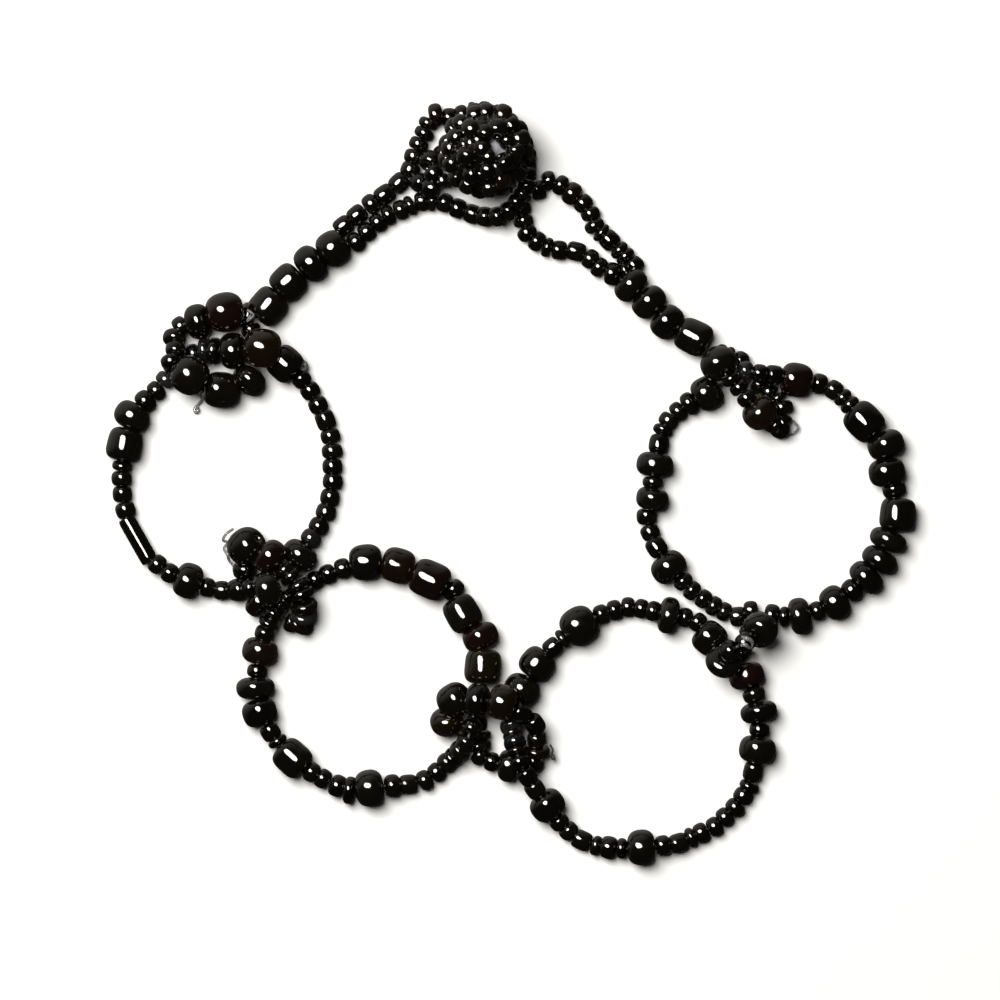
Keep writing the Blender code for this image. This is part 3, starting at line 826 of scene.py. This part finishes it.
buttonStrands = {
    "node": "button_strands", "closed": False, "steep": False, "seed": 102,
    "rows": [
        Row(13.55, 24.05, 0, "snn", "kkk"),
        Row(10.75, 26.9, 0, "ln", "kk"),
        Row(9.1, 28.4, 0, "s", "k"),
        Row(8.7, 29.65, 0, "s", "k"),
        Row(8, 30.85, 0, "s", "k"),
        Row(6.5, 32.1, 0, "ms", "wk"),
        Row(4.2, 33.4, 0, "s", "k"),
        Row(2.9, 32.3, 0, "sttt", "kkkk"),
        Row(0.2, 33.7, 0.62, "t", "k"),
        Row(-0.1, 32.7, 0.55, "ttt", "kkk"),
        Row(1.1, 30.3, 0, "ss", "kk"),
        Row(1.7, 27.6, 0, "ssn", "kkk"),
        Row(5.2, 25.7, 0, "s", "k"),
        Row(7.3, 25.6, 0, "lss", "kkk"),
        Row(11, 23.2, 0, "m", "k"),
        Row(12.4, 23.5, 0, "n", "k"),
    ],
}

for string in (hoopOne, hoopTwo, hoopThree, hoopFour,
               linkLeft, linkOne, linkTwo, linkThree, linkRight,
               stemLeft, stemRight, toggleLoop, toggleInner, buttonStrands):
    makeString(string)


button = {
    "middle": (-2.75, 36.45, 6.7),  # mm
    "beadRing": 4.28,               # how far the beads' middles are from the button's
    "rimShare": 0.985,              # how far out a bead's place may be, as a share of that
    "fill": 1.06,                   # how far a bead is lengthened, to meet the next
    "seed": 77,
    # Beads of its upper side: place beside the button's middle in mm, depth below the ring,
    # heading of the thread in degrees, kind of bead and glass.
    "upper": [
        (-1.20, 3.80, 0.0, 5, "s", "k"),
        (0.05, 4.05, 0.0, -5, "s", "k"),
        (1.85, 4.00, 0.0, -20, "m", "w"),
        (2.75, 2.60, 0.0, -60, "s", "k"),
        (-1.55, 2.15, 0.0, 25, "m", "k"),
        (-0.10, 1.80, 0.2, 80, "s", "k"),
        (1.20, 2.15, 0.0, 80, "m", "k"),
        (-3.20, 1.30, 0.0, 60, "s", "k"),
        (-3.85, 0.15, 0.0, 90, "s", "r"),
        (-3.65, -1.50, 0.0, 100, "s", "k"),
        (-2.00, -0.70, 0.0, 70, "m", "k"),
        (-0.45, 0.05, 0.25, 80, "s", "w"),
        (3.60, 1.15, 0.0, -70, "m", "k"),
        (3.20, -0.15, 0.0, -60, "s", "k"),
        (1.95, -1.40, 0.0, -45, "s", "k"),
        (0.20, -2.25, 0.0, 10, "s", "k"),
        (1.20, -2.15, 0.35, 20, "n", "g"),
        (-1.55, -2.70, 0.0, 15, "s", "k"),
        (1.65, -3.25, 0.0, -10, "s", "w"),
        (-2.10, -4.00, 0.0, 10, "s", "k"),
        (0.35, -4.10, 0.0, 5, "s", "k"),
        (3.60, -2.60, 0.0, 50, "s", "k"),
        (0.30, -0.95, 0.3, 30, "s", "k"),
    ],
    # The rest is filled at random in two layers, the second of which closes the gaps: how close
    # the beads' middles come in mm, how deep they lie, how high up the ball as a share of its
    # ring, and how many places are tried.
    "layers": [
        (1.62, 0.0, 0.5, 6000),
        (0.95, 0.80, 1.0, 9000),
    ],
    "layerUneven": 0.12,            # mm
    "window": (1.50, 0.15, 4.066),  # where the core shows, from the button's middle,
    "windowReach": 2.05,            # and how far from there the random beads start
}


def makeButton():
    chance = random.Random(button["seed"])
    middle = Vector(button["middle"]) * mm
    ring = button["beadRing"]
    mesh = BeadMesh("button_net_beads")
    taken = []

    def addAt(place, heading, kind, tint, deeper):
        outward = place.normalized()
        size = beadSizes[kind]
        axis = (heading - outward * heading.dot(outward)).normalized()
        centre = middle + outward * (ring - deeper) * mm
        length = size.length * mm * button["fill"]
        mesh.addBead(centre, axis, size, length, size.width * mm, tint, chance)
        taken.append(outward * ring)

    widest = ring * button["rimShare"]
    for x, y, deeper, degrees, kind, tint in button["upper"]:
        flat = Vector((x, y, 0.0))
        if flat.length > widest:
            flat = flat.normalized() * widest
        place = Vector((flat.x, flat.y, math.sqrt(ring ** 2 - flat.length ** 2)))
        angle = math.radians(degrees)
        addAt(place, Vector((math.cos(angle), math.sin(angle), 0.0)), kind, tint, deeper)
    window = Vector(button["window"])
    for spacing, inset, highest, tries in button["layers"]:
        for _ in range(tries):
            z = chance.uniform(-1, 1)
            around = chance.uniform(0, math.tau)
            flat = math.sqrt(1 - z * z)
            place = Vector((flat * math.cos(around), flat * math.sin(around), z)) * ring
            if z > highest or (place - window).length < button["windowReach"]:
                continue
            if any((place - other).length < spacing for other in taken):
                continue
            nearest = min(taken, key=lambda other: (place - other).length)
            # Half of the threads run towards the next bead, and half across.
            heading = place.cross(nearest) if chance.random() < 0.5 else nearest - place
            addAt(place, heading, "s", "k", inset + chance.uniform(0.0, button["layerUneven"]))
    piece = mesh.finish()
    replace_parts(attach(piece, "root"), "button_net")
    print("button made,", len(taken), "beads")


makeButton()
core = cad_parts["button_core"]
core.data.materials.clear()
core.data.materials.append(shadedPearl)


def threadPlaces(*places):
    # Places in mm, with their height as a share of a large bead's width.
    return [Row(*place, "t", "k") for place in places]


looseStep = 0.12    # mm
looseEnds = [
    {"name": "tail_left", "node": "link_left", "width": 0.30, "thread": "clear",
     "places": threadPlaces(
        (-33.7, 10.6, 0.50), (-34.1, 9.9, 0.30), (-34.0, 9.3, 0.16), (-34.4, 8.8, 0.10),
        (-34.8, 8.3, 0.08), (-34.7, 7.9, 0.10), (-34.4, 8.1, 0.16), (-34.5, 8.5, 0.10))},
    {"name": "knot_left", "node": "link_left", "width": 0.28, "thread": "clear",
     "places": threadPlaces(
        (-28.9, 19.1, 0.75), (-28.2, 18.6, 0.85), (-28.5, 18.2, 0.95), (-28.9, 17.9, 0.80),
        (-28.6, 18.6, 0.70))},
    {"name": "knot_hoop", "node": "hoop_1", "width": 0.34, "thread": "clear",
     "places": threadPlaces(
        (-23.4, 13.6, 0.30), (-22.7, 13.5, 0.45), (-22.4, 12.9, 0.30), (-22.9, 12.6, 0.45),
        (-23.1, 13.2, 0.30), (-22.6, 13.2, 0.60))},
    {"name": "knot_link", "node": "link_1", "width": 0.32, "thread": "clear",
     "places": threadPlaces(
        (-30.5, -4.9, 0.60), (-31.2, -5.4, 0.75), (-31.6, -6.1, 0.60), (-31.1, -6.4, 0.40),
        (-31.5, -7.0, 0.55), (-31.1, -7.7, 0.70), (-30.9, -8.4, 0.45), (-30.2, -9.2, 0.30))},
    {"name": "knot_right", "node": "link_right", "width": 0.26, "thread": "clear",
     "places": threadPlaces(
        (30.2, 6.6, 0.20), (30.9, 7.0, 0.25), (31.5, 6.2, 0.20), (30.9, 5.6, 0.16),
        (30.2, 5.5, 0.20), (29.5, 5.0, 0.16))},
    {"name": "knot_middle", "node": "link_3", "width": 0.46, "thread": "clear",
     "places": threadPlaces(
        (25.2, -16.7, 1.62), (25.7, -16.8, 1.84), (26.3, -17.2, 1.70), (26.1, -17.8, 1.62),
        (25.5, -17.5, 1.80), (25.1, -17.5, 1.66), (25.0, -17.0, 1.58))},
    {"name": "end_black", "node": "link_2", "width": 0.22, "thread": "black",
     "places": threadPlaces(
        (4.3, -28.6, 0.50), (4.6, -29.2, 0.40), (4.5, -29.6, 0.34), (4.8, -29.9, 0.40),
        (4.7, -30.2, 0.34), (4.4, -29.9, 0.40), (4.6, -29.7, 0.46))},
]
for end in looseEnds:
    points = Route(end["places"], False, 1.0).spread(looseStep * mm)
    material = threadMaterials[end["thread"]]
    piece = makeThread(end["name"], points, end["width"] * mm, False, material)
    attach(piece, "root")
    end["node"] + "_glass"
print("knots made")


surface = {
    "colour": (0.49, 0.4885, 0.484),
    "grain": 1.01,          # how much paler its grain is
    "grainScale": 60.0,
    "roughness": 0.9,
    "half": 1.5,            # m
    "below": 0.00002,       # m
}


def makeFloor():
    material, shader = startMaterial("paleSurface")
    grain = shader.noise(shader.place(), surface["grainScale"])
    light = tuple(value * surface["grain"] for value in surface["colour"])
    shader.dress({
        "Base Color": shader.mixColour(grain, surface["colour"], light),
        "Roughness": surface["roughness"],
        "Metallic": 0.0,
        "Specular IOR Level": 0.0,
    })
    mesh = bpy.data.meshes.new("surface")
    half = surface["half"]
    corners = [(-half, -half, 0), (half, -half, 0), (half, half, 0), (-half, half, 0)]
    mesh.from_pydata(corners, [], [(0, 1, 2, 3)])
    mesh.materials.append(material)
    floor = bpy.data.objects.new("surface", mesh)
    bpy.context.scene.collection.objects.link(floor)
    floor.location.z = -surface["below"]
    floor.visible_glossy = False


sky = {
    "colour": (1.0, 0.97, 0.91),
    "dim": 0.018,           # the dark room, as the middles of the beads mirror it
    "sheen": 0.46,          # its pale side, which shades their upper left with a soft grey
    "paleSide": (-0.48, 0.80, -0.30),
    "paleRange": (0.12, 0.95),
}


def makeSky():
    world = bpy.data.worlds.new("studio")
    bpy.context.scene.world = world
    world.use_nodes = True
    shader = Shader(world.node_tree, "Background")
    paleSide = Vector(sky["paleSide"]).normalized()
    pale = shader.along(shader.place("Generated"), paleSide)
    shader.dress({
        "Color": (*sky["colour"], 1.0),
        "Strength": pale.step(*sky["paleRange"], sky["dim"], sky["sheen"]),
    })


softboxLamp = {
    "power": 10.5,
    "colour": (1.0, 0.985, 0.955),
    "angle": 22.0,          # degrees off straight up, towards the upper left
    "aside": (-0.72, 0.70),
    "distance": 0.62,
    "width": 0.31,
    "length": 0.42,
}


def makeSoftbox():
    lamp = bpy.data.lights.new("softbox", "AREA")
    lamp.shape = "ELLIPSE"
    lamp.size = softboxLamp["width"]
    lamp.size_y = softboxLamp["length"]
    lamp.energy = softboxLamp["power"]
    lamp.color = softboxLamp["colour"]
    softbox = bpy.data.objects.new("softbox", lamp)
    angle = math.radians(softboxLamp["angle"])
    x, y = softboxLamp["aside"]
    away = Vector((math.sin(angle) * x, math.sin(angle) * y, math.cos(angle)))
    softbox.location = away * softboxLamp["distance"]
    softbox.rotation_mode = "QUATERNION"
    softbox.rotation_quaternion = away.to_track_quat("Z", "Y")
    bpy.context.scene.collection.objects.link(softbox)


view = {
    "height": 0.9,
    "width": 0.110,
    "middle": (-0.00121, -0.001705),
    "sensor": 36.0,
    "nearest": 0.01,
}


def makeCamera():
    camera = bpy.data.cameras.new("photographView")
    camera.sensor_width = view["sensor"]
    camera.lens = view["sensor"] * view["height"] / view["width"]
    camera.clip_start = view["nearest"]
    viewer = bpy.data.objects.new("photographView", camera)
    viewer.location = (*view["middle"], view["height"])
    bpy.context.scene.collection.objects.link(viewer)
    bpy.context.scene.camera = viewer


makeFloor()
makeSky()
makeSoftbox()
makeCamera()
bpy.context.scene.view_settings.view_transform = "Standard"
print("surface, lights and camera made")
